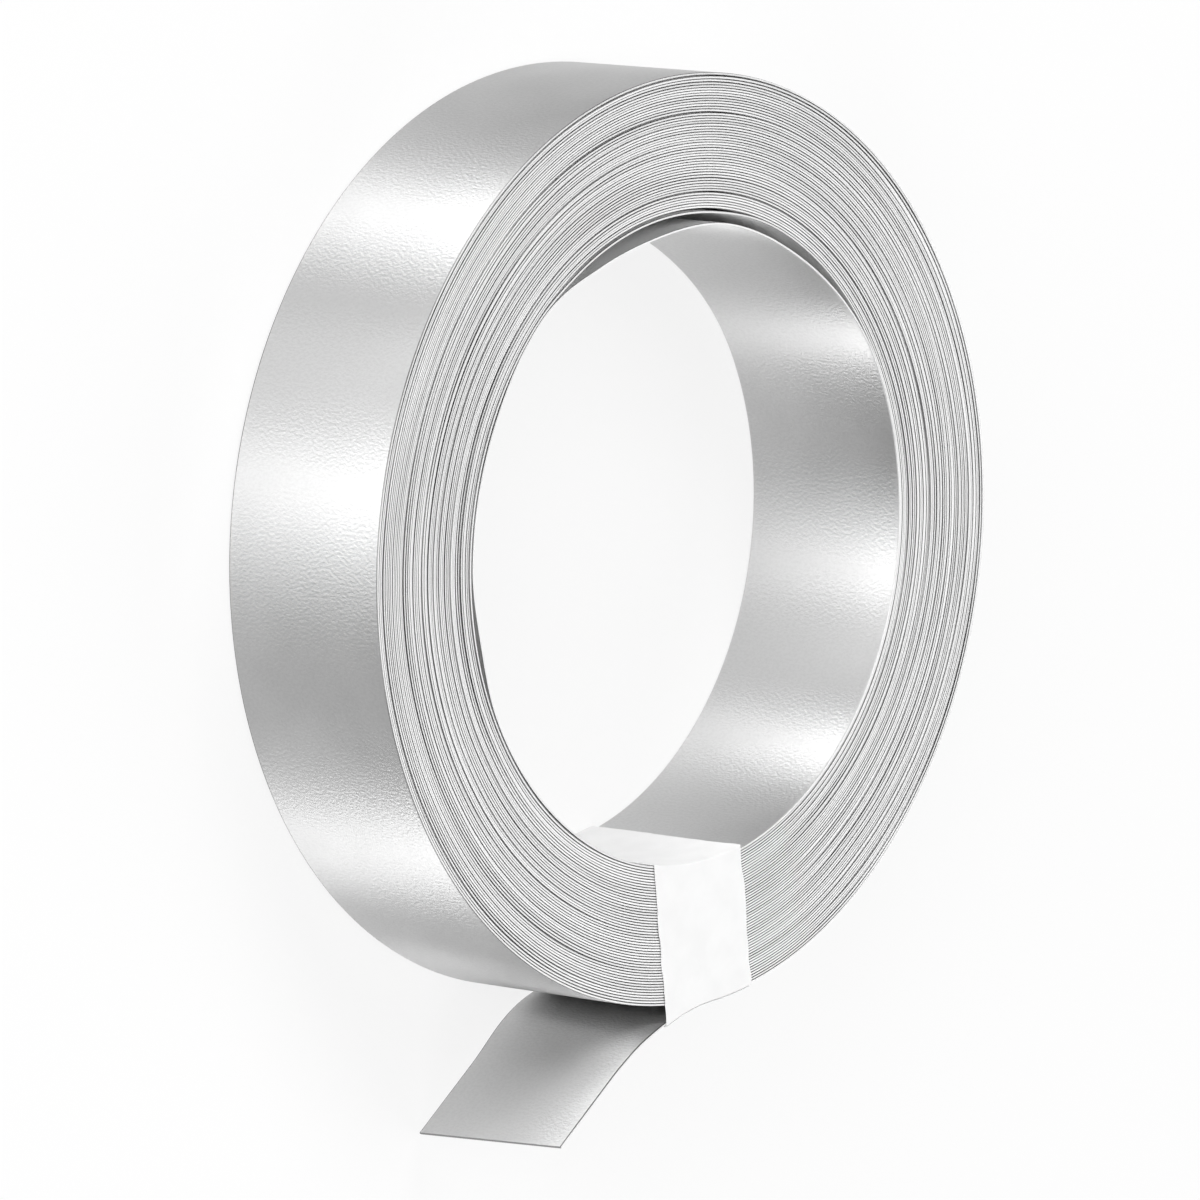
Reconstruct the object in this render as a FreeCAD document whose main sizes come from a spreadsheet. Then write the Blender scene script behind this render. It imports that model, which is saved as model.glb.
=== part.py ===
import FreeCAD, Part
import math
import os
import Sketcher

# A roll of bare nickel strip, wound on itself without a reel and held by one band of paper tape.
# It lies on one of its ends, because it rolls away when it is stood on its rim.
# Millimetres and degrees, +Z up. The origin is on the floor, on the roll's axis, which is Z.
#
# Everything is drawn first as it is seen from above, with the roll's middle at the origin, turned
# so that the strip's free end, the tail, leaves the rim at the point nearest the viewer.
# Angles round the roll start there and grow towards +X, and the tail points to -X.
# The finished pieces are then turned together until the tail's end is just inside the +X side of
# the roll, which keeps it in the roll's own square.

SIZES = [
    # name, size, what it measures
    ("strip_width", 15.0, "width of the strip, and of the roll"),
    ("strip_thickness", 0.2, "thickness of the strip"),
    ("turn_gap", 0.0123, "air between one turn and the next"),
    ("turn_count", 52, "turns in the roll"),
    ("bore_radius", 25.1, "inner face of the innermost turn"),
    ("edge_groove_width", 0.09, "groove between the rounded edges of two turns, at the face"),
    ("edge_groove_depth", 0.06, "depth of that groove"),
    ("tail_bend_radius", 18.0, "outer face of the tail, where it bends away from the roll"),
    ("tail_bend_angle", 32.6, "how far the tail bends away"),
    ("tail_straight", 10.1, "flat end of the tail after its bend"),
    ("tail_inset", 0.9, "from the +X side of the roll in to the corner of the tail's end"),
    ("slack_first_start", 126.5, "where the innermost turn leaves the roll"),
    ("slack_first_end", 218.5, "where it meets the roll again"),
    ("slack_first_bend", 13.7, "radius of its two tighter ends"),
    ("slack_first_flat", 28.4, "radius of its flatter middle"),
    ("slack_second_start", 157.0, "where the second turn leaves the roll"),
    ("slack_second_end", 217.0, "where it meets the roll again"),
    ("slack_second_bend", 20.0, "radius of its two tighter ends"),
    ("slack_second_flat", 27.5, "radius of its flatter middle"),
    ("tape_width", 10.2, "width of the paper tape"),
    ("tape_thickness", 0.12, "thickness of the paper tape"),
    ("tape_offset", 0.8, "from where the tail leaves to the middle of the tape, towards the tail"),
]
PITCH = "(sizes.strip_thickness + sizes.turn_gap)"
RIM = f"(sizes.bore_radius + sizes.turn_count * {PITCH})"
SLACK_TURNS = ["first", "second"]

AXIS = FreeCAD.Vector(0, 0, 1)
MIDDLE = FreeCAD.Vector(0, 0, 0)

# How a sketch numbers its own origin and upright axis, and the places on a line or an arc.
NUMBERS = {"origin": -1, "upright": -2, "start": 1, "end": 2, "centre": 3}


def fill_sheet(doc):
    """Put every size in a cell of the sheet, under its own name."""
    sheet = doc.addObject("Spreadsheet::Sheet", "sizes")
    for row, (name, size, meaning) in enumerate(SIZES, start=1):
        sheet.set(f"A{row}", meaning)
        sheet.set(f"B{row}", str(size))
        sheet.setAlias(f"B{row}", name)
    doc.recompute()
    return sheet


def pitch_of(sheet):
    return sheet.strip_thickness + sheet.turn_gap


def rim_of(sheet):
    return sheet.bore_radius + sheet.turn_count * pitch_of(sheet)


def round_point(centre, radius, angle):
    """The point at an angle round a centre, counted from its nearest point towards +X."""
    turned = math.radians(angle)
    return centre + FreeCAD.Vector(radius * math.sin(turned), -radius * math.cos(turned), 0)


def level_point(centre, radius, x, side):
    """The point of a circle at a given x, on its near half (side -1) or its far half (side 1)."""
    return FreeCAD.Vector(x, centre.y + side * math.sqrt(radius**2 - (x - centre.x) ** 2), 0)


class Drawing:
    """A sketch of the roll seen from above, with words for the constraints that it needs."""

    def __init__(self, doc, name):
        self.sketch = doc.addObject("Sketcher::SketchObject", name)

    def line(self, first, second):
        return self.sketch.addGeometry(Part.LineSegment(first, second))

    def arc(self, centre, radius, first, second):
        """An arc drawn anticlockwise about a centre, from one point to another."""
        begin = math.atan2(first.y - centre.y, first.x - centre.x)
        finish = math.atan2(second.y - centre.y, second.x - centre.x)
        if finish <= begin:
            finish += 2 * math.pi
        return self.sketch.addGeometry(Part.ArcOfCircle(Part.Circle(centre, AXIS, radius), begin, finish))

    def tie(self, kind, *places):
        """A constraint between places, each a line or arc's number, or one of the words above."""
        numbers = [NUMBERS.get(place, place) for place in places]
        return self.sketch.addConstraint(Sketcher.Constraint(kind, *numbers))

    def size(self, label, formula, kind, *places):
        """A measured constraint that follows the sheet. Its last place is its present measure."""
        self.sketch.renameConstraint(self.tie(kind, *places), label)
        self.sketch.setExpression(f"Constraints.{label}", formula)


def pad(doc, name, outline, width_formula):
    """An outline carried along the axis, half of its height to each side of the drawing."""
    solid = doc.addObject("Part::Extrusion", name)
    solid.Base = outline
    solid.DirMode = "Custom"
    solid.Dir = AXIS
    solid.Symmetric = True
    solid.Solid = True
    solid.setExpression("LengthFwd", width_formula)
    return solid


def strip_along(doc, name, path):
    """A stretch of the strip at its full width, thickened to the right of the path of one face."""
    section = doc.addObject("Part::Offset2D", f"{name}_section")
    section.Source = path
    section.Mode = "Skin"
    section.Join = "Arc"
    section.Fill = True
    section.setExpression("Value", "sizes.strip_thickness")
    return pad(doc, name, section, "sizes.strip_width")


def wound_turns(doc, sheet):
    """The turns as one turned ring. On both ends a fine groove runs between each turn and the next.

    Its half section is a rectangle with a notch at every turn. The number of notches follows the
    number of turns, so the outline is worked out here.
    """
    half = sheet.strip_width / 2
    below = [(sheet.bore_radius, -half)]
    for turn in range(1, int(sheet.turn_count)):
        between = sheet.bore_radius + turn * pitch_of(sheet)
        below.append((between - sheet.edge_groove_width / 2, -half))
        below.append((between, -half + sheet.edge_groove_depth))
        below.append((between + sheet.edge_groove_width / 2, -half))
    below.append((rim_of(sheet), -half))
    above = [(radius, -height) for radius, height in reversed(below)]
    corners = [FreeCAD.Vector(radius, 0, height) for radius, height in below + above]
    section = doc.addObject("Part::Feature", "turns_section")
    section.Shape = Part.Face(Part.makePolygon(corners + corners[:1]))
    ring = doc.addObject("Part::Revolution", "turns")
    ring.Source = section
    ring.Axis = AXIS
    ring.Angle = 360
    ring.Solid = True
    return ring


def tail_places(sheet):
    """The centre of the tail's bend, where its outer face leaves the rim, is bent, and ends."""
    centre = round_point(MIDDLE, rim_of(sheet) + sheet.tail_bend_radius, 0)
    leave = round_point(MIDDLE, rim_of(sheet), 0)
    bent = round_point(centre, sheet.tail_bend_radius, 180 + sheet.tail_bend_angle)
    away = round_point(MIDDLE, 1, sheet.tail_bend_angle - 90)
    return centre, leave, bent, bent + away * sheet.tail_straight


def tail(doc, sheet):
    """The strip's free end: it leaves the rim, bends away from the roll and ends flat."""
    centre, leave, bent, end = tail_places(sheet)
    drawing = Drawing(doc, "tail_path")
    arc = drawing.arc(centre, sheet.tail_bend_radius, leave, bent)
    line = drawing.line(bent, end)
    drawing.tie("PointOnObject", arc, "centre", "upright")
    drawing.tie("PointOnObject", arc, "start", "upright")
    drawing.tie("Tangent", arc, "end", line, "start")
    drawing.size("rim", RIM, "DistanceY", arc, "start", "origin", "start", rim_of(sheet))
    drawing.size("bend", "sizes.tail_bend_radius", "Radius", arc, sheet.tail_bend_radius)
    drawing.size("straight", "sizes.tail_straight", "Distance", line, sheet.tail_straight)
    drawing.size("slope", "180 + sizes.tail_bend_angle", "Angle", line,
                 math.radians(180 + sheet.tail_bend_angle))
    return strip_along(doc, "tail", drawing.sketch)


def slack_room(doc, sheet, turn, name):
    """The room that a slack turn leaves in the roll: a slice of the roll out to its outer face."""
    radius = sheet.bore_radius + turn * pitch_of(sheet)
    start = round_point(MIDDLE, radius, sheet.get(f"slack_{name}_start"))
    end = round_point(MIDDLE, radius, sheet.get(f"slack_{name}_end"))
    drawing = Drawing(doc, f"room_{name}_outline")
    first = drawing.line(MIDDLE, start)
    arc = drawing.arc(MIDDLE, radius, start, end)
    last = drawing.line(end, MIDDLE)
    drawing.tie("Coincident", first, "start", "origin", "start")
    drawing.tie("Coincident", last, "end", "origin", "start")
    drawing.tie("Coincident", arc, "centre", "origin", "start")
    drawing.tie("Coincident", first, "end", arc, "start")
    drawing.tie("Coincident", arc, "end", last, "start")
    drawing.size("outer", f"sizes.bore_radius + {turn} * {PITCH}", "Radius", arc, radius)
    drawing.size("begins", f"sizes.slack_{name}_start - 90", "Angle", first,
                 math.radians(sheet.get(f"slack_{name}_start") - 90))
    drawing.size("ends", f"sizes.slack_{name}_end + 90", "Angle", last,
                 math.radians(sheet.get(f"slack_{name}_end") + 90))
    return pad(doc, f"room_{name}", drawing.sketch, "sizes.strip_width")


def slack_turn(doc, sheet, turn, name):
    """A slack turn: it leaves the roll and meets it again without a kink, and is flatter between.

    Its inner face is three arcs, each tangent to the next, and the outer two to the roll. The
    turn of the two ends follows from the radii, because both ends have to lie on the roll.
    """
    start, end = sheet.get(f"slack_{name}_start"), sheet.get(f"slack_{name}_end")
    bend, flat = sheet.get(f"slack_{name}_bend"), sheet.get(f"slack_{name}_flat")
    radius = sheet.bore_radius + (turn - 1) * pitch_of(sheet)
    half = math.radians((end - start) / 2)
    turned = math.degrees(half - math.asin((radius - bend) * math.sin(half) / (flat - bend)))
    first_centre = round_point(MIDDLE, radius - bend, start)
    last_centre = round_point(MIDDLE, radius - bend, end)
    flat_centre = round_point(first_centre, bend - flat, start + turned)
    flat_start = round_point(first_centre, bend, start + turned)
    flat_end = round_point(last_centre, bend, end - turned)
    drawing = Drawing(doc, f"slack_{name}_path")
    first = drawing.arc(first_centre, bend, round_point(MIDDLE, radius, start), flat_start)
    middle = drawing.arc(flat_centre, flat, flat_start, flat_end)
    last = drawing.arc(last_centre, bend, flat_end, round_point(MIDDLE, radius, end))
    guides = [drawing.line(MIDDLE, round_point(MIDDLE, radius, angle)) for angle in (start, end)]
    for guide, arc, place in zip(guides, (first, last), ("start", "end")):
        drawing.sketch.setConstruction(guide, True)
        drawing.tie("Coincident", guide, "start", "origin", "start")
        drawing.tie("Coincident", guide, "end", arc, place)
        drawing.tie("PointOnObject", arc, "centre", guide)
    drawing.tie("Tangent", first, "end", middle, "start")
    drawing.tie("Tangent", middle, "end", last, "start")
    formula = f"sizes.bore_radius + {turn - 1} * {PITCH}"
    drawing.size("roll", formula, "Distance", guides[0], radius)
    drawing.tie("Equal", guides[0], guides[1])
    drawing.size("begins", f"sizes.slack_{name}_start - 90", "Angle", guides[0], math.radians(start - 90))
    drawing.size("ends", f"sizes.slack_{name}_end - 90", "Angle", guides[1], math.radians(end - 90))
    drawing.size("bend", f"sizes.slack_{name}_bend", "Radius", first, bend)
    drawing.tie("Equal", first, last)
    drawing.size("flat", f"sizes.slack_{name}_flat", "Radius", middle, flat)
    return strip_along(doc, f"slack_{name}", drawing.sketch)


def tape_outline(doc, sheet, name, proud, proud_formula):
    """The tape's outline: straight sides, and ends that follow the bore and the rim.

    To the left of where the tail leaves, the tape lies on the tail instead of the rim. Proud is
    how far the outline stands off the strip.
    """
    left = -sheet.tape_offset - sheet.tape_width / 2
    right = -sheet.tape_offset + sheet.tape_width / 2
    bend_centre, leave, _, _ = tail_places(sheet)
    inner, outer = sheet.bore_radius - proud, rim_of(sheet) + proud
    bend = sheet.tail_bend_radius - proud
    under = leave - FreeCAD.Vector(0, proud, 0)
    corners = {
        "inner_left": level_point(MIDDLE, inner, left, -1),
        "inner_right": level_point(MIDDLE, inner, right, -1),
        "outer_left": level_point(bend_centre, bend, left, 1),
        "outer_right": level_point(MIDDLE, outer, right, -1),
    }
    drawing = Drawing(doc, f"{name}_outline")
    in_bore = drawing.arc(MIDDLE, inner, corners["inner_left"], corners["inner_right"])
    side_right = drawing.line(corners["inner_right"], corners["outer_right"])
    on_rim = drawing.arc(MIDDLE, outer, under, corners["outer_right"])
    on_tail = drawing.arc(bend_centre, bend, under, corners["outer_left"])
    side_left = drawing.line(corners["outer_left"], corners["inner_left"])
    for arc in (in_bore, on_rim):
        drawing.tie("Coincident", arc, "centre", "origin", "start")
    drawing.tie("PointOnObject", on_tail, "centre", "upright")
    drawing.tie("PointOnObject", on_tail, "start", "upright")
    drawing.tie("Coincident", on_rim, "start", on_tail, "start")
    drawing.tie("Coincident", in_bore, "end", side_right, "start")
    drawing.tie("Coincident", side_right, "end", on_rim, "end")
    drawing.tie("Coincident", on_tail, "end", side_left, "start")
    drawing.tie("Coincident", side_left, "end", in_bore, "start")
    for side in (side_left, side_right):
        drawing.tie("Vertical", side)
    drawing.size("bore", f"sizes.bore_radius - {proud_formula}", "Radius", in_bore, inner)
    drawing.size("rim", f"{RIM} + {proud_formula}", "Radius", on_rim, outer)
    drawing.size("bend", f"sizes.tail_bend_radius - {proud_formula}", "Radius", on_tail, bend)
    drawing.size("left", "sizes.tape_width / 2 + sizes.tape_offset", "DistanceX",
                 side_left, "start", "origin", "start", -left)
    drawing.size("right", "sizes.tape_width / 2 - sizes.tape_offset", "DistanceX",
                 "origin", "start", side_right, "start", right)
    return pad(doc, name, drawing.sketch, f"sizes.strip_width + 2 * {proud_formula}")


def on_the_floor(sheet):
    """The roll's place: lying on the tape on its lower end, with the tail's end just inside its side."""
    _, _, _, end = tail_places(sheet)
    reach = rim_of(sheet) - sheet.tail_inset
    to_side = math.degrees(math.atan2(-end.y, end.x) - math.acos(reach / end.Length))
    middle = sheet.strip_width / 2 + sheet.tape_thickness
    return FreeCAD.Placement(FreeCAD.Vector(0, 0, middle), FreeCAD.Rotation(AXIS, to_side))


def nickel_strip(doc, sheet):
    """The whole strip: the turns, with room cut for the slack ones, the slack turns and the tail."""
    rooms = doc.addObject("Part::MultiFuse", "slack_rooms")
    rooms.Shapes = [slack_room(doc, sheet, turn, name) for turn, name in enumerate(SLACK_TURNS, start=1)]
    packed = doc.addObject("Part::Cut", "packed_turns")
    packed.Base = wound_turns(doc, sheet)
    packed.Tool = rooms
    slack = [slack_turn(doc, sheet, turn, name) for turn, name in enumerate(SLACK_TURNS, start=1)]
    strip = doc.addObject("Part::MultiFuse", "nickel_strip")
    strip.Shapes = [packed, *slack, tail(doc, sheet)]
    return strip


def paper_tape(doc, sheet):
    """One closed band of paper round the turns and the start of the tail, tight against them."""
    band = doc.addObject("Part::Cut", "paper_tape")
    band.Base = tape_outline(doc, sheet, "tape_outside", sheet.tape_thickness, "sizes.tape_thickness")
    band.Tool = tape_outline(doc, sheet, "tape_inside", 0.0, "0")
    return band


def check(doc, pieces):
    """Stop if any object failed, or a piece isn't one valid solid."""
    for thing in doc.Objects:
        if "Invalid" in thing.State or "Error" in thing.State:
            raise RuntimeError(f"{thing.Name} failed: {thing.State}")
    for piece in pieces:
        shape = piece.Shape
        if shape.isNull() or not shape.isValid() or len(shape.Solids) != 1:
            raise RuntimeError(f"{piece.Label} isn't one valid solid")


def main():
    doc = FreeCAD.newDocument("nickel_strip_roll")
    sheet = fill_sheet(doc)
    pieces = [nickel_strip(doc, sheet), paper_tape(doc, sheet)]
    for piece in pieces:
        piece.Label = piece.Name
        piece.Placement = on_the_floor(sheet)
    doc.recompute()
    check(doc, pieces)
    os.makedirs("parts", exist_ok=True)
    for piece in pieces:
        piece.Shape.exportStep(f"parts/{piece.Label}.step")
        box = piece.Shape.BoundBox
        print(f"{piece.Label}: {piece.Shape.Volume:.1f} mm3, X {box.XMin:.2f} to {box.XMax:.2f},",
              f"Y {box.YMin:.2f} to {box.YMax:.2f}, Z {box.ZMin:.3f} to {box.ZMax:.2f}")


main()
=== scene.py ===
import math
import bpy
import numpy as np
from bpy.props import FloatProperty, IntProperty, PointerProperty, StringProperty
from bpy.types import Operator, Panel, PropertyGroup
from mathutils import Matrix, Vector


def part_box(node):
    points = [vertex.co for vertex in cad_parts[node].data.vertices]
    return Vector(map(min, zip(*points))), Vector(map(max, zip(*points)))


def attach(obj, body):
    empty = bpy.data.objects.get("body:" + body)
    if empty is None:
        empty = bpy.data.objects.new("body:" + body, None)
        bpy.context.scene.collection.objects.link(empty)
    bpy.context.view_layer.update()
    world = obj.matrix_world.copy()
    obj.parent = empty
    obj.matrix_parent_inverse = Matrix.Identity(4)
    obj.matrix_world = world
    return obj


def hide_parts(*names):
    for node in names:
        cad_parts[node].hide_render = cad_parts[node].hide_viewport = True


# A roll of bare nickel strip without a reel, held by one band of paper tape, lying on one end.
# Metres, +Z up. Everything is worked out first in the roll's drawing: seen from above, with the
# roll's middle at the origin, and turned so that the strip's free end, the tail, leaves the rim
# on the -Y side. Angles round the roll start there and grow towards +X, and the tail points to
# -X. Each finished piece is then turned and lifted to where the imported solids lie.

bl_info = {
    "name": "Nickel strip roll",
    "version": (1, 0, 0),
    "blender": (4, 5, 0),
    "location": "3D View > Sidebar > Nickel roll",
    "description": "Makes a roll of bare nickel strip, its band of paper tape and a small studio",
    "category": "Object",
}

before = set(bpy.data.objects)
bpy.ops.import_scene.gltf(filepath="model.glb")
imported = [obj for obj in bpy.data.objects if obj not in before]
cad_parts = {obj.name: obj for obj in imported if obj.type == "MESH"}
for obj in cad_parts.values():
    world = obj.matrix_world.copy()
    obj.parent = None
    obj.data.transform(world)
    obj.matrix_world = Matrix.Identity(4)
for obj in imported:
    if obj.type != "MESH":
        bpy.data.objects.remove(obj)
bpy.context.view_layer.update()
STRIP_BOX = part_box("nickel_strip")
MM = 0.001


# Sizes and colours that a user would change.

def length(name, description, default):
    """A length that a user would change, in metres."""
    return FloatProperty(name=name, description=description, default=default, unit="LENGTH",
                         precision=5)


def angle(name, description, degrees):
    """An angle that a user would change."""
    return FloatProperty(name=name, description=description, default=math.radians(degrees),
                         subtype="ANGLE")


def colour(name, description, hex_value):
    """A colour, written as sRGB hex."""
    return StringProperty(name=name, description=description, default=hex_value)


class ROLL_PG_strip(PropertyGroup):
    """Sizes and colours of the nickel strip and of the way it is wound."""
    width: length("Width", "Width of the strip", STRIP_BOX[1].z - STRIP_BOX[0].z)
    thickness: length("Thickness", "Thickness of the strip", 0.2 * MM)
    rim_radius: length("Rim radius", "Outer face of the outermost turn", -STRIP_BOX[0].x)
    bore_radius: length("Bore radius", "Inner face of the innermost turn", 25.1 * MM)
    turns: IntProperty(name="Turns", description="Turns counted across the winding", default=52, min=4)
    edge_round: length("Edge rounding", "Rounding of the slit edges, in from the strip's face", 0.034 * MM)
    edge_drop: length("Edge drop", "How far the rounding reaches down the strip's face", 0.10 * MM)
    edge_wander: length("Edge wander", "How far the turns stand in and out of the roll's ends", 0.05 * MM)
    tail_bend_radius: length("Tail bend radius", "Outer face of the tail, where it bends away", 18.0 * MM)
    tail_bend: angle("Tail bend", "How far the tail bends away from the roll", 32.6)
    tail_straight: length("Tail straight", "Flat end of the tail after its bend", 10.1 * MM)
    tail_lean: length("Tail lean", "How far the tail's upper edge leans to the roll, its lower edge away",
                      0.5 * MM)
    face_colour: colour("Face colour", "Rolled face of the strip", "#E4E4E4")
    edge_colour: colour("Edge colour", "Slit edge of the strip", "#EAEAEA")


class ROLL_PG_tape(PropertyGroup):
    """Sizes and colour of the paper tape."""
    width: length("Width", "Width of the tape", 10.2 * MM)
    thickness: length("Thickness", "Thickness of the paper", 0.06 * MM)
    room: length("Room", "Space between the roll and the tape's outer face, creases included", 0.118 * MM)
    offset: length("Offset", "From where the tail leaves to the tape's middle, towards the tail", 0.8 * MM)
    lap: length("Lap", "How far the tape's ends overlap, outside on the rim", 6.0 * MM)
    under: length("Shift underneath", "How far the tape stays off the tail at the lower end's rim",
                  3.2 * MM)
    skew: angle("Skew", "How far the tape is stuck askew across the upper end", -2.8)
    colour: colour("Colour", "The paper's own colour", "#FAFAFA")


class ROLL_PG_stage(PropertyGroup):
    """The studio: floor, lamps and camera."""
    floor_colour: colour("Floor colour", "The floor's own colour", "#F7F7F7")
    lamp_level: FloatProperty(name="Lamp level", description="Level of all lamps", default=1.0, min=0.0)
    world_level: FloatProperty(name="World level", description="Level of the pale surroundings",
                               default=0.12, min=0.0)


# Shared helpers.

def linear(hex_value, share=1.0):
    """An sRGB hex colour, dimmed to a share of its light, as linear red, green, blue and alpha."""
    parts = np.array([int(hex_value[i:i + 2], 16) / 255 for i in (1, 3, 5)])
    parts = np.where(parts <= 0.04045, parts / 12.92, ((parts + 0.055) / 1.055) ** 2.4)
    return (*(parts * share).tolist(), 1.0)


def smooth_step(values, start, end):
    """0 before start, 1 after end, and a smooth S between: 3t squared less 2t cubed."""
    t = np.clip((np.asarray(values, float) - start) / (end - start), 0, 1)
    return t * t * (3 - 2 * t)


def hump(values, centre, half_width):
    """A smooth hump of height 1: half of one plus the cosine of the distance from its centre."""
    t = np.clip(np.abs(np.asarray(values, float) - centre) / half_width, 0, 1)
    return 0.5 + 0.5 * np.cos(np.pi * t)


def plateau(values, rise_start, rise_end, fall_start, fall_end):
    """Rises from 0 to 1, stays there and falls back to 0, by smooth steps."""
    return smooth_step(values, rise_start, rise_end) * (1 - smooth_step(values, fall_start, fall_end))


def wandering(rng, count, knot_every):
    """Smooth noise about 0 with a spread of about 1: random knots joined by cosine curves."""
    knots = rng.standard_normal(int(count / knot_every) + 3)
    place = np.arange(count) / knot_every
    first = place.astype(int)
    blend = 0.5 - 0.5 * np.cos(np.pi * (place - first))
    return knots[first] * (1 - blend) + knots[first + 1] * blend


def packed_turn(strip):
    """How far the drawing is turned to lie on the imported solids: the tail's end is the point of the
    packed strip farthest from the axis, and the same corner is known in the drawing."""
    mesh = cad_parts["nickel_strip"].data
    points = np.empty(len(mesh.vertices) * 3, np.float32)
    mesh.vertices.foreach_get("co", points)
    points = points.reshape(-1, 3)
    far = points[np.argmax(np.hypot(points[:, 0], points[:, 1]))]
    path, _ = tail_path(strip, 2)
    return math.atan2(far[1], far[0]) - math.atan2(path[0, 1], path[0, 0])


def placed(strip):
    """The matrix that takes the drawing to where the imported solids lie."""
    middle = (STRIP_BOX[0].z + STRIP_BOX[1].z) / 2
    return Matrix.Translation((0, 0, middle)) @ Matrix.Rotation(packed_turn(strip), 4, "Z")


SHARP_FROM = math.radians(30)


def new_piece(name, points, quads, place, uv, material_index=None, caps=()):
    """A mesh object from arrays: points in the drawing, quads as rows of four corners, caps as
    lists of corners, and one UV pair for each corner. Its place goes into the mesh."""
    turned = np.array(place, float)
    points = points @ turned[:3, :3].T + turned[:3, 3]
    faces = quads.tolist() + [list(cap) for cap in caps]
    mesh = bpy.data.meshes.new(name)
    mesh.from_pydata(points.tolist(), [], faces)
    layer = mesh.uv_layers.new(name="strip")
    padding = np.zeros((len(mesh.loops) - len(uv), 2))
    layer.data.foreach_set("uv", np.vstack([uv, padding]).astype(np.float32).ravel())
    if material_index is not None:
        index = np.concatenate([material_index, np.full(len(caps), material_index.max())])
        mesh.polygons.foreach_set("material_index", index.astype(np.int32))
    mesh.polygons.foreach_set("use_smooth", np.ones(len(mesh.polygons), bool))
    mesh.update()
    mesh.validate()
    mesh.set_sharp_from_angle(angle=SHARP_FROM)
    piece = bpy.data.objects.new(name, mesh)
    bpy.context.scene.collection.objects.link(piece)
    return piece


def add_node(tree, kind, settings=None, links=None):
    """Adds one node. Settings are its own attributes or the values of its inputs, and links join
    an input to the output of another node."""
    node = tree.nodes.new(kind)
    for key, value in (settings or {}).items():
        if isinstance(key, str) and hasattr(node, key):
            setattr(node, key, value)
        else:
            node.inputs[key].default_value = value
    for key, output in (links or {}).items():
        tree.links.new(output, node.inputs[key])
    return node


def new_material(name):
    """An empty node material, its tree, and its output node."""
    material = bpy.data.materials.new(name)
    material.use_nodes = True
    material.node_tree.nodes.clear()
    return material, material.node_tree, add_node(material.node_tree, "ShaderNodeOutputMaterial")


def ranges(low, high, out_low, out_high):
    """A Map Range node's four values: what lies between the first two comes out between the others."""
    return {"From Min": low, "From Max": high, "To Min": out_low, "To Max": out_high}


# The strip.

STEPS_PER_TURN = 232
TAIL_STEPS = 44
TAIL_LEANS = (5.0 * MM, 13.0 * MM)  # from the rim, where the tail starts to lean and leans fully
FROM_TAIL_TO_LOWEST = 5.4  # degrees, from the roll's lowest point as the photo shows it to the tail

# How the two innermost turns hang in from the roll. Angles are in degrees from the roll's top as
# the photo shows it, towards its right. A stretch has four of them: from the first to the second
# the turn comes loose, and from the third to the fourth it comes back. A dip has its middle and
# half its width. Each ends with how far the turn hangs in.
INNERMOST_STRETCHES = (((-45, -26, 24, 62), 0.80 * MM), ((-170, -140, -64, -50), 0.12 * MM))
INNERMOST_DIPS = (((-13, 25), 0.52 * MM), ((-104, 14), 0.28 * MM))
SECOND_STRETCHES = (((-46, -32, 4, 22), 0.20 * MM),)

# Where turns stand farther apart: a stretch as above, the middle one of those turns, counted from
# outside, or from inside where it is negative, how many turns to each side of it stand apart too,
# and the share of air added.
ALL_ROUND = (-361, -360, 360, 361)
LOOSE_GAPS = (
    ((-160, -145, -118, -100), 3, 3.5, 7),
    ((-125, -112, -66, -45), -4, 4.5, 6),
    (ALL_ROUND, 2, 2.8, 6),
    ((-40, -12, 40, 75), 1, 0.9, 13),
)

# Degrees from the tail: the tape holds the turns evenly up to the first, and lets go by the second.
TAPE_HOLDS = (14, 34)

# How uneven the gaps are, how often gaps and edges change in a turn, and how far an edge may
# stand out, in parts of the edge wander.
GAP_CONTRAST = 1.5
GAP_KNOTS_PER_TURN = 3.3
EDGE_KNOTS_PER_TURN = 2.7
EDGE_LIMIT = 1.8
WINDING_SEED = 52


def round_points(radius, turned):
    """Points at a radius and an angle, counted from the nearest point towards +X."""
    return np.stack([radius * np.sin(turned), -radius * np.cos(turned)], -1)


def tail_path(strip, steps):
    """The outer face of the tail from its end to the rim, and the directions away from the roll.

    A straight stretch, then an arc about a centre that lies one bend radius outside the rim.
    """
    bend, straight = strip.tail_bend_radius, strip.tail_straight
    arc_length = bend * strip.tail_bend
    walked = np.linspace(0, straight + arc_length, steps + 1)
    left = np.clip((straight + arc_length - walked) / bend, 0, strip.tail_bend)
    spare = np.clip(straight - walked, 0, None)
    across = -bend * np.sin(left) - spare * math.cos(strip.tail_bend)
    up = -strip.rim_radius - bend + bend * np.cos(left) - spare * math.sin(strip.tail_bend)
    outwards = np.stack([np.sin(left), -np.cos(left)], -1)
    return np.stack([across, up], -1), outwards


def from_top(degrees):
    """The angle from the roll's top towards the photo's right, from the angle from the tail."""
    return 180 - (degrees + FROM_TAIL_TO_LOWEST) % 360


def slack(degrees, stretches, dips):
    """How far a turn hangs in from the roll: the sum of its plateaus and humps."""
    top = from_top(degrees)
    flat = sum(depth * plateau(top, *where) for where, depth in stretches)
    return flat + sum(depth * hump(top, *where) for where, depth in dips)


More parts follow.
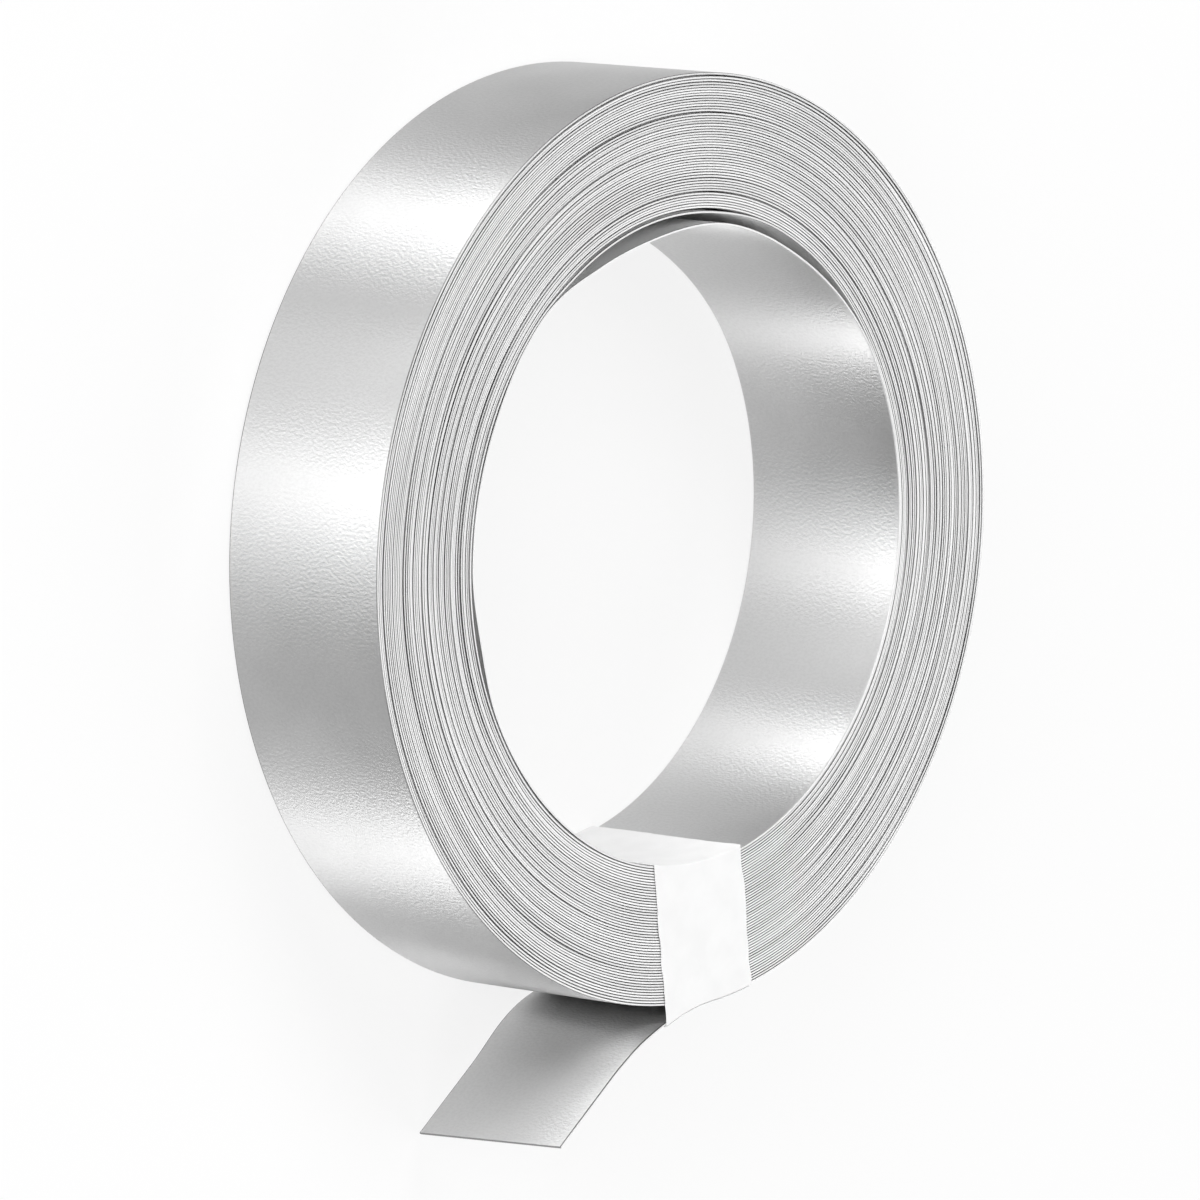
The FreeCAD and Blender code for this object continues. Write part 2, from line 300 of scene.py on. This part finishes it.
def wound_depths(strip, rng):
    """How deep the outer face of each turn lies below the rim, one row per turn, with each
    step's angle from the tail and how free it is of the tape, from 0 to 1.

    A turn lies one thickness and one gap below the turn outside it. The gaps are uneven: each is a
    share of the roll's whole air, and the shares are the exponential of smooth noise along the
    strip, with more where turns stand apart. Under the tape all shares are alike, which joins the
    end of each row to the next.
    """
    rows = strip.turns - 1
    count = rows * STEPS_PER_TURN
    air = strip.rim_radius - strip.bore_radius - strip.turns * strip.thickness
    gap = air / strip.turns
    degrees = np.arange(STEPS_PER_TURN) / STEPS_PER_TURN * 360
    free = smooth_step(np.minimum(degrees, 360 - degrees), *TAPE_HOLDS)
    noise = wandering(rng, count, STEPS_PER_TURN / GAP_KNOTS_PER_TURN).reshape(rows, STEPS_PER_TURN)
    share = np.exp(free * GAP_CONTRAST * noise)
    turn = np.arange(rows)[:, None]
    for where, middle, spread, more in LOOSE_GAPS:
        share += more * free * plateau(from_top(degrees), *where) * hump(turn, middle % rows, spread)
    share[0] = 0
    depth = np.cumsum(share, 0) / share.sum(0) * gap * (rows - 1)
    depth += turn * strip.thickness
    depth += (strip.thickness + gap) * (degrees / 360)
    return depth, degrees, free


def strip_path(strip):
    """The strip's outer face from the tail's end to the inner end: points, directions away from
    the roll, and how far each place stands up out of the roll's end."""
    rng = np.random.default_rng(WINDING_SEED)
    depth, degrees, free = wound_depths(strip, rng)
    rows = len(depth)
    depth[-1] += slack(degrees, INNERMOST_STRETCHES, INNERMOST_DIPS)
    depth[-2] += slack(degrees, SECOND_STRETCHES, ())
    wander = wandering(rng, depth.size, STEPS_PER_TURN / EDGE_KNOTS_PER_TURN).reshape(depth.shape)
    raised = strip.edge_wander * np.clip(wander, -EDGE_LIMIT, EDGE_LIMIT) * free
    radius = (strip.rim_radius - depth).ravel()
    turned = 2 * np.pi * np.arange(depth.size) / STEPS_PER_TURN
    last = strip.rim_radius - rows * (strip.rim_radius - strip.bore_radius) / strip.turns
    radius = np.append(radius, last)
    turned = np.append(turned, 2 * np.pi * rows)
    raised = np.append(raised.ravel(), 0)
    wound = round_points(radius, turned)
    heading = np.gradient(wound, axis=0)
    heading /= np.linalg.norm(heading, axis=1)[:, None]
    outwards = np.stack([heading[:, 1], -heading[:, 0]], -1)
    outwards[0] = (0, -1)
    tail, tail_outwards = tail_path(strip, TAIL_STEPS)
    points = np.vstack([tail[:-1], wound])
    outwards = np.vstack([tail_outwards[:-1], outwards])
    raised = np.concatenate([np.zeros(TAIL_STEPS), raised])
    return points, outwards, raised


# The section's sides, from the outer face round over the upper edge: 0 is the rolled face, 1 the
# cut edge, and 2 its torn corners, duller as torn metal is and darkened far below that as painted
# shade, which draws the dark lines between the turns. The two innermost turns keep the plain cut edge on
# their inner corners, without that painted shade.
SIDE_MATERIALS = (0, 2, 1, 2, 0, 2, 1, 2)
INNER_CORNERS = (3, 5)


def wind_strip(strip):
    """The whole strip as one closed surface.

    Its section is a rectangle with chamfered corners, in eight points. It is carried along the
    path, with its thickness going in from the outer face. The tail's upper edge leans to the roll
    and its lower edge away, by a straight line across the width.
    """
    path, outwards, raised = strip_path(strip)
    half, thick = strip.width / 2, strip.thickness
    rounding, drop = strip.edge_round, strip.edge_drop
    section = np.array([
        (0, -half + drop), (0, half - drop), (rounding, half), (thick - rounding, half),
        (thick, half - drop), (thick, -half + drop), (thick - rounding, -half), (rounding, -half)])
    sides = len(section)
    count = len(path)
    steps = np.linalg.norm(np.diff(path, axis=0), axis=1)
    walked = np.concatenate([[0], np.cumsum(steps)])
    from_rim = walked[TAIL_STEPS] - walked
    lean = strip.tail_lean * smooth_step(from_rim, *TAIL_LEANS)
    inwards = section[None, :, 0] + lean[:, None] * section[None, :, 1] / half
    plan = path[:, None, :] - outwards[:, None, :] * inwards[..., None]
    height = section[None, :, 1] + raised[:, None] * np.ones(sides)
    points = np.concatenate([plan, height[..., None]], -1).reshape(-1, 3)
    here = np.arange(count - 1)[:, None] * sides
    side = np.arange(sides)[None, :]
    after = (side + 1) % sides
    quads = np.stack([here + side, here + sides + side, here + sides + after, here + after], -1)
    around = np.concatenate([[0], np.cumsum(np.linalg.norm(np.diff(section, axis=0), axis=1))])
    around = np.append(around, around[-1] + math.hypot(rounding, drop))
    u = np.broadcast_to(walked[:-1, None], (count - 1, sides))
    u_next = np.broadcast_to(walked[1:, None], (count - 1, sides))
    v = np.broadcast_to(around[None, :-1], (count - 1, sides))
    v_next = np.broadcast_to(around[None, 1:], (count - 1, sides))
    uv = np.stack([np.stack([u, v], -1), np.stack([u_next, v], -1),
                   np.stack([u_next, v_next], -1), np.stack([u, v_next], -1)], 2)
    material = np.tile(SIDE_MATERIALS, (count - 1, 1))
    # the inner corners of the two innermost turns get no painted shade
    material[-2 * STEPS_PER_TURN:, INNER_CORNERS] = 1
    caps = [list(range(sides)), list(range((count - 1) * sides, count * sides))[::-1]]
    return new_piece("wound_nickel_strip", points, quads.reshape(-1, 4), placed(strip),
                     uv.reshape(-1, 2), material.ravel(), caps)


def cold_rolled_nickel(strip):
    """Cold-rolled nickel, annealed matte. The rolls leave fine lines along the strip, too fine to
    see, which spread each highlight across its width, and the annealed grain gives an orange peel."""
    material, tree, output = new_material("cold_rolled_matte_nickel")
    place = add_node(tree, "ShaderNodeTexCoord")
    # annealed grain, about 0.3 mm long across the strip and 0.2 mm along it
    sized = add_node(tree, "ShaderNodeMapping", {"Scale": (4400.0, 3000.0, 1.0)},
                     {"Vector": place.outputs["UV"]})
    grain = add_node(tree, "ShaderNodeTexNoise",
                     {"noise_dimensions": "2D", "Scale": 1.0, "Detail": 2.0, "Roughness": 0.55},
                     {"Vector": sized.outputs["Vector"]})
    # dull and bright patches, about 6 mm
    patches = add_node(tree, "ShaderNodeTexNoise", {"Scale": 160.0, "Detail": 3.0},
                       {"Vector": place.outputs["Object"]})
    rough = add_node(tree, "ShaderNodeMapRange", ranges(0.35, 0.65, 0.385, 0.42),
                     {"Value": patches.outputs["Fac"]})
    peel = add_node(tree, "ShaderNodeBump", {"Strength": 1.0, "Distance": 0.02 * MM},
                    {"Height": grain.outputs["Fac"]})
    # the grain's low parts are a little darker
    part = add_node(tree, "ShaderNodeMapRange", ranges(0.35, 0.6, 0.0, 1.0),
                    {"Value": grain.outputs["Fac"]})
    tint = add_node(tree, "ShaderNodeMix",
                    {"data_type": "RGBA", 6: linear(strip.face_colour, 0.955),
                     7: linear(strip.face_colour)},
                    {0: part.outputs["Result"]})
    tangent = add_node(tree, "ShaderNodeTangent", {"direction_type": "UV_MAP", "uv_map": "strip"})
    shader = add_node(tree, "ShaderNodeBsdfPrincipled",
                      {"Metallic": 1.0, "Anisotropic": 1.0, "Anisotropic Rotation": 0.25},
                      {"Base Color": tint.outputs[2], "Roughness": rough.outputs["Result"],
                       "Normal": peel.outputs["Normal"], "Tangent": tangent.outputs["Tangent"]})
    tree.links.new(shader.outputs["BSDF"], output.inputs["Surface"])
    return material


def slit_nickel_edge(strip, name, dull, bright):
    """The edge that slitting leaves: bright sheared metal in fine grains that sparkle without a
    clear highlight. Its torn corners are a second, much darker copy: painted shade between the turns,
    and partly the duller torn metal. Dull and bright are the least and the most of the edge colour's light
    that it gives back."""
    material, tree, output = new_material(name)
    place = add_node(tree, "ShaderNodeTexCoord")
    # torn grains, about 0.1 mm, as coarse as they need to be to show
    grain = add_node(tree, "ShaderNodeTexNoise", {"Scale": 9000.0, "Detail": 2.0, "Roughness": 0.6},
                     {"Vector": place.outputs["Object"]})
    # each turn is cut a little brighter or duller, over about 30 mm of strip
    cut = add_node(tree, "ShaderNodeMapping", {"Scale": (34.0, 0.0, 1.0)},
                   {"Vector": place.outputs["UV"]})
    changes = add_node(tree, "ShaderNodeTexNoise",
                       {"noise_dimensions": "2D", "Scale": 1.0, "Detail": 2.0},
                       {"Vector": cut.outputs["Vector"]})
    part = add_node(tree, "ShaderNodeMapRange", ranges(0.35, 0.65, 0.0, 1.0),
                    {"Value": changes.outputs["Fac"]})
    tint = add_node(tree, "ShaderNodeMix",
                    {"data_type": "RGBA", 6: linear(strip.edge_colour, dull),
                     7: linear(strip.edge_colour, bright)},
                    {0: part.outputs["Result"]})
    relief = add_node(tree, "ShaderNodeBump", {"Strength": 0.8, "Distance": 0.014 * MM},
                      {"Height": grain.outputs["Fac"]})
    rough = add_node(tree, "ShaderNodeMapRange", ranges(0.3, 0.7, 0.42, 0.58),
                     {"Value": grain.outputs["Fac"]})
    shader = add_node(tree, "ShaderNodeBsdfPrincipled", {"Metallic": 1.0},
                      {"Base Color": tint.outputs[2], "Roughness": rough.outputs["Result"],
                       "Normal": relief.outputs["Normal"]})
    tree.links.new(shader.outputs["BSDF"], output.inputs["Surface"])
    return material


# The paper tape.

TAPE_STEPS_ACROSS = 40
TAPE_STEP_ALONG = 0.25 * MM
TAPE_START = 1.5 * MM  # height of the tape's first end on the rim, above the middle of the width
FOLD_STEPS = 4  # rows of points in each fold between two legs of its way
EDGE_WAVE = 0.05 * MM
EDGE_WAVE_KNOTS = (5, 11)  # a fine and a coarse wave, in rows of points between their knots
LAP_RISE = 1.2 * MM  # the length over which the last stretch climbs onto the first
LAP_CLEAR = 0.15  # how far it then stands clear, in parts of the room for creases
CREASE_SEED = 7
EDGE_SEED = 11

# The paper's cockling: the sizes of its waves, and the least and the spread of its lift, in parts
# of the room. Its folds: place along the tape, slant, half width and height, the first and third
# in millimetres and the last in parts of the room.
COCKLE_SIZES = (1.1 * MM, 1.9 * MM, 3.2 * MM)
COCKLE_LIFT = 0.28
COCKLE_SPREAD = 0.22
FOLDS = (
    (9.9, 0.35, 0.28, 0.45),
    (11.4, -0.22, 0.22, 0.35),
    (13.8, 0.3, 0.35, 0.4),
    (20.6, 0.1, 0.4, 0.35),
    (27.5, -0.3, 0.35, 0.4),
    (40.0, 0.4, 0.4, 0.4),
)


def tape_route(strip, tape):
    """The tape's way round the roll's section, as distance out from the bore and height.

    It starts a little above the middle of the rim, goes over the upper end, down the bore, back
    under the lower end and up the rim again, where it laps over its own start. Its folds are small
    quarter circles.
    """
    deep = strip.rim_radius - strip.bore_radius
    half = strip.width / 2
    corners = np.array([(deep, TAPE_START), (deep, half), (0, half), (0, -half), (deep, -half),
                        (deep, TAPE_START + tape.lap)])
    legs = np.diff(corners, axis=0)
    sizes = np.linalg.norm(legs, axis=1)
    heads = legs / sizes[:, None]
    out = np.stack([heads[:, 1], -heads[:, 0]], -1)
    counts = np.maximum((sizes / TAPE_STEP_ALONG).astype(int), 2)
    base, normal, walked = [], [], []
    done = 0.0
    for leg, (size, count) in enumerate(zip(sizes, counts)):
        part = np.linspace(0, size, count + 1)
        base.append(corners[leg] + heads[leg] * part[:, None])
        normal.append(np.repeat(out[leg][None], count + 1, 0))
        walked.append(done + part)
        done += size
        if leg + 1 < len(legs):
            turn = np.linspace(0, 1, FOLD_STEPS + 2)[1:-1, None] * np.pi / 2
            base.append(np.repeat(corners[leg + 1][None], FOLD_STEPS, 0))
            normal.append(out[leg] * np.cos(turn) + out[leg + 1] * np.sin(turn))
            walked.append(np.full(FOLD_STEPS, done))
    return np.vstack(base), np.vstack(normal), np.concatenate(walked), done


def on_roll(strip, out, height, across):
    """Points in the drawing from distance out of the bore, height and place across the tape.

    In plan the bore is a circle, and outside is the rim, or the tail's bend left of where it
    leaves. A place between them is the same share of the way, and one beyond goes straight on.
    """
    deep = strip.rim_radius - strip.bore_radius
    bore = -np.sqrt(strip.bore_radius ** 2 - across ** 2)
    rim = -np.sqrt(strip.rim_radius ** 2 - across ** 2)
    bend = strip.tail_bend_radius
    on_tail = -strip.rim_radius - bend + np.sqrt(bend ** 2 - across ** 2)
    outside = np.where(across < 0, on_tail, rim)
    share = np.clip(out / deep, 0, 1)
    beyond = np.minimum(out, 0) + np.maximum(out - deep, 0)
    y = bore + (outside - bore) * share - beyond
    return np.stack([across, y, height], -1)


def creases(walked, across):
    """How far the paper stands off what it lies on, from 0 to 1: fine cockling and a few soft
    folds that run slantwise across it, each a ridge that falls off as a bell curve."""
    rng = np.random.default_rng(CREASE_SEED)
    cockle = np.zeros_like(walked)
    waves = 3 * len(COCKLE_SIZES)
    for size in COCKLE_SIZES:
        for a, b, phase in rng.uniform(-1, 1, (3, 3)).T:
            cockle += np.sin(2 * np.pi * (a * across + b * walked) / size + 6 * phase) / waves
    lift = COCKLE_LIFT + COCKLE_SPREAD * cockle
    for place, slant, wide, high in FOLDS:
        off = walked - (place * MM + slant * across)
        lift += high * np.exp(-(off / (wide * MM)) ** 2)
    return np.clip(lift, 0, 1)


def wrap_tape(strip, tape):
    """The tape as one closed sheet with its paper's thickness.

    Across and along it are the two parameters of a grid. The inner side lies on the roll, lifted
    by the creases, and the outer side is one thickness further out. Where the ends lap, the last
    stretch rises over the first. The edges wave a little, as torn and handled paper does.
    """
    base, normal, walked, whole = tape_route(strip, tape)
    steps = len(base)
    share = np.linspace(-0.5, 0.5, TAPE_STEPS_ACROSS + 1)
    rng = np.random.default_rng(EDGE_SEED)
    left, right = [EDGE_WAVE * sum(wandering(rng, steps, knots) for knots in EDGE_WAVE_KNOTS)
                   for _ in range(2)]
    centre = -tape.offset + math.tan(tape.skew) * skew_along(walked, strip)
    centre += tape.under * underneath(walked, strip)
    across = centre[:, None] + tape.width * share[None, :]
    across += left[:, None] * np.clip(-share, 0, None) * 2 + right[:, None] * np.clip(share, 0, None) * 2
    along = np.broadcast_to(walked[:, None], across.shape)
    lap_start = whole - tape.lap - TAPE_START
    lapped = smooth_step(walked, lap_start, lap_start + LAP_RISE)[:, None]
    spare = tape.room - tape.thickness
    lift = creases(along, across) * spare
    lift = lift * (1 - lapped) + (tape.room + LAP_CLEAR * spare + lift / 2) * lapped
    layers = []
    for stand in (lift, lift + tape.thickness):
        out = base[:, None, 0] + normal[:, None, 0] * stand
        height = base[:, None, 1] + normal[:, None, 1] * stand
        layers.append(on_roll(strip, out, height, across))
    wide = TAPE_STEPS_ACROSS + 1
    points = np.concatenate([layer.reshape(-1, 3) for layer in layers])
    grid = np.arange(steps * wide).reshape(steps, wide)
    far = grid + steps * wide

    def patch(a, b, c, d):
        return np.stack([a.ravel(), b.ravel(), c.ravel(), d.ravel()], -1)

    quads = np.vstack([
        patch(far[:-1, :-1], far[1:, :-1], far[1:, 1:], far[:-1, 1:]),
        patch(grid[:-1, :-1], grid[:-1, 1:], grid[1:, 1:], grid[1:, :-1]),
        patch(grid[:-1, 0], grid[1:, 0], far[1:, 0], far[:-1, 0]),
        patch(grid[:-1, -1], far[:-1, -1], far[1:, -1], grid[1:, -1]),
        patch(grid[0, :-1], far[0, :-1], far[0, 1:], grid[0, 1:]),
        patch(grid[-1, :-1], grid[-1, 1:], far[-1, 1:], far[-1, :-1]),
    ])
    place = np.concatenate([np.stack([along, across], -1).reshape(-1, 2)] * 2)
    uv = place[quads.ravel()]
    return new_piece("paper_tape_band", points, quads, placed(strip), uv)


def skew_along(walked, strip):
    """How far along the skew each place is: across the upper end the tape runs askew from rim to
    bore, and back under the lower end, so that it meets itself."""
    deep = strip.rim_radius - strip.bore_radius
    up = strip.width / 2 - TAPE_START
    over = np.clip(walked - up, 0, deep)
    back = np.clip(walked - up - deep - strip.width, 0, deep)
    return over - back - deep / 2


def underneath(walked, strip):
    """How much of the shift underneath each place has: all of it at the lower end's rim, less and
    less towards the bore, and none where the tape laps over its own start."""
    deep = strip.rim_radius - strip.bore_radius
    half = strip.width / 2
    at_rim = half - TAPE_START + deep + strip.width + deep
    coming = np.clip(1 - (at_rim - walked) / deep, 0, 1)
    going = np.clip(1 - (walked - at_rim) / half, 0, 1)
    return coming * going


def paper(tape):
    """White paper tape: pulp fibres laid down wet and pressed, so matt, faintly cloudy and softly
    rough, with a slight gloss from its sizing."""
    material, tree, output = new_material("pressed_white_paper")
    place = add_node(tree, "ShaderNodeTexCoord")
    # fibre tangle, about 0.3 mm, as coarse as it needs to be to show
    fibres = add_node(tree, "ShaderNodeTexNoise", {"Scale": 3200.0, "Detail": 4.0, "Roughness": 0.6},
                      {"Vector": place.outputs["Object"]})
    # cloudy formation of the pulp, about 2 mm
    clouds = add_node(tree, "ShaderNodeTexNoise", {"Scale": 450.0, "Detail": 3.0, "Roughness": 0.5},
                      {"Vector": place.outputs["Object"]})
    part = add_node(tree, "ShaderNodeMapRange", ranges(0.35, 0.65, 0.0, 1.0),
                    {"Value": clouds.outputs["Fac"]})
    tint = add_node(tree, "ShaderNodeMix",
                    {"data_type": "RGBA", 6: linear(tape.colour, 0.965), 7: linear(tape.colour)},
                    {0: part.outputs["Result"]})
    soft = add_node(tree, "ShaderNodeBump", {"Strength": 0.6, "Distance": 0.10 * MM},
                    {"Height": clouds.outputs["Fac"]})
    relief = add_node(tree, "ShaderNodeBump", {"Strength": 0.2, "Distance": 0.015 * MM},
                      {"Height": fibres.outputs["Fac"], "Normal": soft.outputs["Normal"]})
    rough = add_node(tree, "ShaderNodeMapRange", ranges(0.3, 0.7, 0.72, 0.86),
                     {"Value": fibres.outputs["Fac"]})
    shader = add_node(tree, "ShaderNodeBsdfPrincipled", {"Specular IOR Level": 0.35},
                      {"Base Color": tint.outputs[2], "Roughness": rough.outputs["Result"],
                       "Normal": relief.outputs["Normal"]})
    tree.links.new(shader.outputs["BSDF"], output.inputs["Surface"])
    return material


# The studio.

# The camera, in the drawing: from the roll's middle, as the photo shows it.
CAMERA_PLACE = Vector((-614.2, 153.0, 537.8)) * MM
CAMERA_FORWARD = Vector((0.73739, -0.19024, -0.64813))
CAMERA_UP = Vector((0.17580, 0.98050, -0.08779))
CAMERA_LENS = 322.5
CAMERA_SENSOR = 36.0

# Soft lamps: direction round the roll in degrees, seen from above and counted from the camera's
# own direction, height above the floor in degrees, distance, width and height in metres, and level,
# which is the brightness of the lamp's own face. Tall narrow ones give the rolled faces their
# bright bands, and wide dim ones beside them soften the bands. One behind lights the turns' edges,
# and one high up reaches over the roll to the tail, and lights the floor and the tape.
LAMPS = (
    ("left_lamp", -65, 21, 0.60, 0.20, 0.42, 4.3),
    ("tail_lamp", -90, 56, 0.60, 0.20, 0.40, 4.1),
    ("camera_side_lamp", -2, 21, 0.60, 0.20, 0.42, 2.8),
    ("camera_side_soft_lamp", -10, 21, 0.62, 0.72, 0.42, 2.0),
    ("right_lamp", 80, 21, 0.60, 0.24, 0.42, 3.8),
    ("right_soft_lamp", 154, 13, 0.62, 0.50, 0.24, 2.6),
    ("back_lamp", 180, 44, 0.70, 0.90, 0.50, 1.5),
)


FLOOR_HALF = 2.0
WHITE_TO_CAMERA = 0.8  # the part of the floor that the camera sees as plain white, the rest as lit
WHITE_TO_REFLECTIONS = 0.95  # the same for reflections
REFLECTED_LEVEL = 0.84  # how bright the plain part is in reflections, where 1 is white


def pale_floor(stage):
    """A wide matt floor. Camera rays see it mostly as plain white, and keep a part of its shading
    and so the roll's shadow. Reflections see it evenly pale too, as a backdrop farther off would be."""
    material, tree, output = new_material("matt_white_floor")
    matt = add_node(tree, "ShaderNodeBsdfDiffuse", {"Color": linear(stage.floor_colour)})
    seen = add_node(tree, "ShaderNodeLightPath")
    level = add_node(tree, "ShaderNodeMapRange", ranges(0.0, 1.0, 1.0, REFLECTED_LEVEL),
                     {"Value": seen.outputs["Is Glossy Ray"]})
    white = add_node(tree, "ShaderNodeEmission", {"Color": (1, 1, 1, 1)},
                     {"Strength": level.outputs["Result"]})
    part = add_node(tree, "ShaderNodeMath", {"operation": "MULTIPLY", 1: WHITE_TO_CAMERA},
                    {0: seen.outputs["Is Camera Ray"]})
    share = add_node(tree, "ShaderNodeMath", {"operation": "MULTIPLY_ADD", 1: WHITE_TO_REFLECTIONS},
                     {0: seen.outputs["Is Glossy Ray"], 2: part.outputs[0]})
    mix = add_node(tree, "ShaderNodeMixShader", {},
                   {0: share.outputs[0], 1: matt.outputs[0], 2: white.outputs[0]})
    tree.links.new(mix.outputs[0], output.inputs["Surface"])
    mesh = bpy.data.meshes.new("floor")
    corners = [(x * FLOOR_HALF, y * FLOOR_HALF, 0) for x, y in ((-1, -1), (1, -1), (1, 1), (-1, 1))]
    mesh.from_pydata(corners, [], [(0, 1, 2, 3)])
    floor = bpy.data.objects.new("floor", mesh)
    bpy.context.scene.collection.objects.link(floor)
    floor.data.materials.append(material)


def soft_lamps(stage, place):
    """Rectangular soft lamps round the roll, each pointed at its middle. An area lamp whose face
    has a brightness of 1 gives pi watts for each square metre of it."""
    middle = place.translation
    to_camera = place.to_3x3() @ CAMERA_PLACE
    camera_angle = math.atan2(to_camera.y, to_camera.x)
    for name, turned, height, distance, wide, tall, level in LAMPS:
        direction = camera_angle + math.radians(turned)
        up = math.radians(height)
        away = Vector((math.cos(direction) * math.cos(up), math.sin(direction) * math.cos(up),
                       math.sin(up)))
        data = bpy.data.lights.new(name, "AREA")
        data.shape, data.size, data.size_y = "RECTANGLE", wide, tall
        data.energy = math.pi * wide * tall * level * stage.lamp_level
        lamp = bpy.data.objects.new(name, data)
        bpy.context.scene.collection.objects.link(lamp)
        lamp.location = middle + away * distance
        lamp.visible_camera = False
        lamp.rotation_mode = "QUATERNION"
        lamp.rotation_quaternion = (-away).to_track_quat("-Z", "Y")


def pale_world(stage):
    """An even pale room. Camera rays see it plain white."""
    world = bpy.data.worlds.new("pale_room")
    bpy.context.scene.world = world
    world.use_nodes = True
    tree = world.node_tree
    tree.nodes.clear()
    seen = add_node(tree, "ShaderNodeLightPath")
    level = add_node(tree, "ShaderNodeMapRange", ranges(0.0, 1.0, stage.world_level, 1.0),
                     {"Value": seen.outputs["Is Camera Ray"]})
    back = add_node(tree, "ShaderNodeBackground", {"Color": (1, 1, 1, 1)},
                    {"Strength": level.outputs["Result"]})
    output = add_node(tree, "ShaderNodeOutputWorld")
    tree.links.new(back.outputs[0], output.inputs["Surface"])


def place_camera(place):
    """The camera stands and is turned as it was for the photo."""
    turned = place.to_3x3()
    data = bpy.data.cameras.new("camera")
    data.lens, data.sensor_width = CAMERA_LENS, CAMERA_SENSOR
    data.clip_start, data.clip_end = 0.01, 20.0
    camera = bpy.data.objects.new("camera", data)
    bpy.context.scene.collection.objects.link(camera)
    forward = (turned @ CAMERA_FORWARD).normalized()
    up = (turned @ CAMERA_UP).normalized()
    right = forward.cross(up).normalized()
    up = right.cross(forward)
    axes = Matrix((right, up, -forward)).transposed()
    camera.matrix_world = Matrix.Translation(place @ CAMERA_PLACE) @ axes.to_4x4()
    bpy.context.scene.camera = camera


# Operators and panel.

class ROLL_OT_wind_strip(Operator):
    """Wind the nickel strip in its spiral, with its slack inner turns and its free end"""
    bl_idname = "nickel_roll.wind_strip"
    bl_label = "Wind the nickel strip"

    def execute(self, context):
        sizes = context.scene.roll_strip
        piece = wind_strip(sizes)
        piece.data.materials.append(cold_rolled_nickel(sizes))
        piece.data.materials.append(slit_nickel_edge(sizes, "slit_nickel_edge", dull=0.84, bright=1.0))
        # a much darker copy of the edge for the torn corners: painted shade between the turns, partly
        # duller torn metal
        piece.data.materials.append(slit_nickel_edge(sizes, "torn_edge_and_painted_gap_shade", dull=0.10, bright=0.66))
        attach(piece, "root")
        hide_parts("nickel_strip")
        return {"FINISHED"}


class ROLL_OT_wrap_tape(Operator):
    """Wrap the band of paper tape round the turns and the start of the free end"""
    bl_idname = "nickel_roll.wrap_tape"
    bl_label = "Wrap the paper tape"

    def execute(self, context):
        scene = context.scene
        piece = wrap_tape(scene.roll_strip, scene.roll_tape)
        piece.data.materials.append(paper(scene.roll_tape))
        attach(piece, "root")
        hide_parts("paper_tape")
        return {"FINISHED"}


class ROLL_OT_set_stage(Operator):
    """Set up the pale floor, the soft lamps, the pale room and the camera"""
    bl_idname = "nickel_roll.set_stage"
    bl_label = "Set the stage"

    def execute(self, context):
        scene = context.scene
        place = placed(scene.roll_strip)
        pale_floor(scene.roll_stage)
        soft_lamps(scene.roll_stage, place)
        pale_world(scene.roll_stage)
        place_camera(place)
        scene.view_settings.view_transform = "Standard"
        return {"FINISHED"}


class ROLL_PT_sidebar(Panel):
    """Lists the roll's operators and its sizes"""
    bl_idname = "ROLL_PT_sidebar"
    bl_label = "Nickel roll"
    bl_space_type = "VIEW_3D"
    bl_region_type = "UI"
    bl_category = "Nickel roll"

    def draw(self, context):
        for operator, group in (("nickel_roll.wind_strip", context.scene.roll_strip),
                                ("nickel_roll.wrap_tape", context.scene.roll_tape),
                                ("nickel_roll.set_stage", context.scene.roll_stage)):
            box = self.layout.box()
            box.operator(operator)
            for name in group.__annotations__:
                box.prop(group, name)


GROUPS = {"roll_strip": ROLL_PG_strip, "roll_tape": ROLL_PG_tape, "roll_stage": ROLL_PG_stage}
CLASSES = (*GROUPS.values(), ROLL_OT_wind_strip, ROLL_OT_wrap_tape, ROLL_OT_set_stage, ROLL_PT_sidebar)


def register():
    for kind in CLASSES:
        bpy.utils.register_class(kind)
    for name, group in GROUPS.items():
        setattr(bpy.types.Scene, name, PointerProperty(type=group))


def unregister():
    for name in GROUPS:
        delattr(bpy.types.Scene, name)
    for kind in reversed(CLASSES):
        bpy.utils.unregister_class(kind)


def main():
    register()
    bpy.ops.nickel_roll.wind_strip()
    bpy.ops.nickel_roll.wrap_tape()
    bpy.ops.nickel_roll.set_stage()


if __name__ == "__main__":
    main()
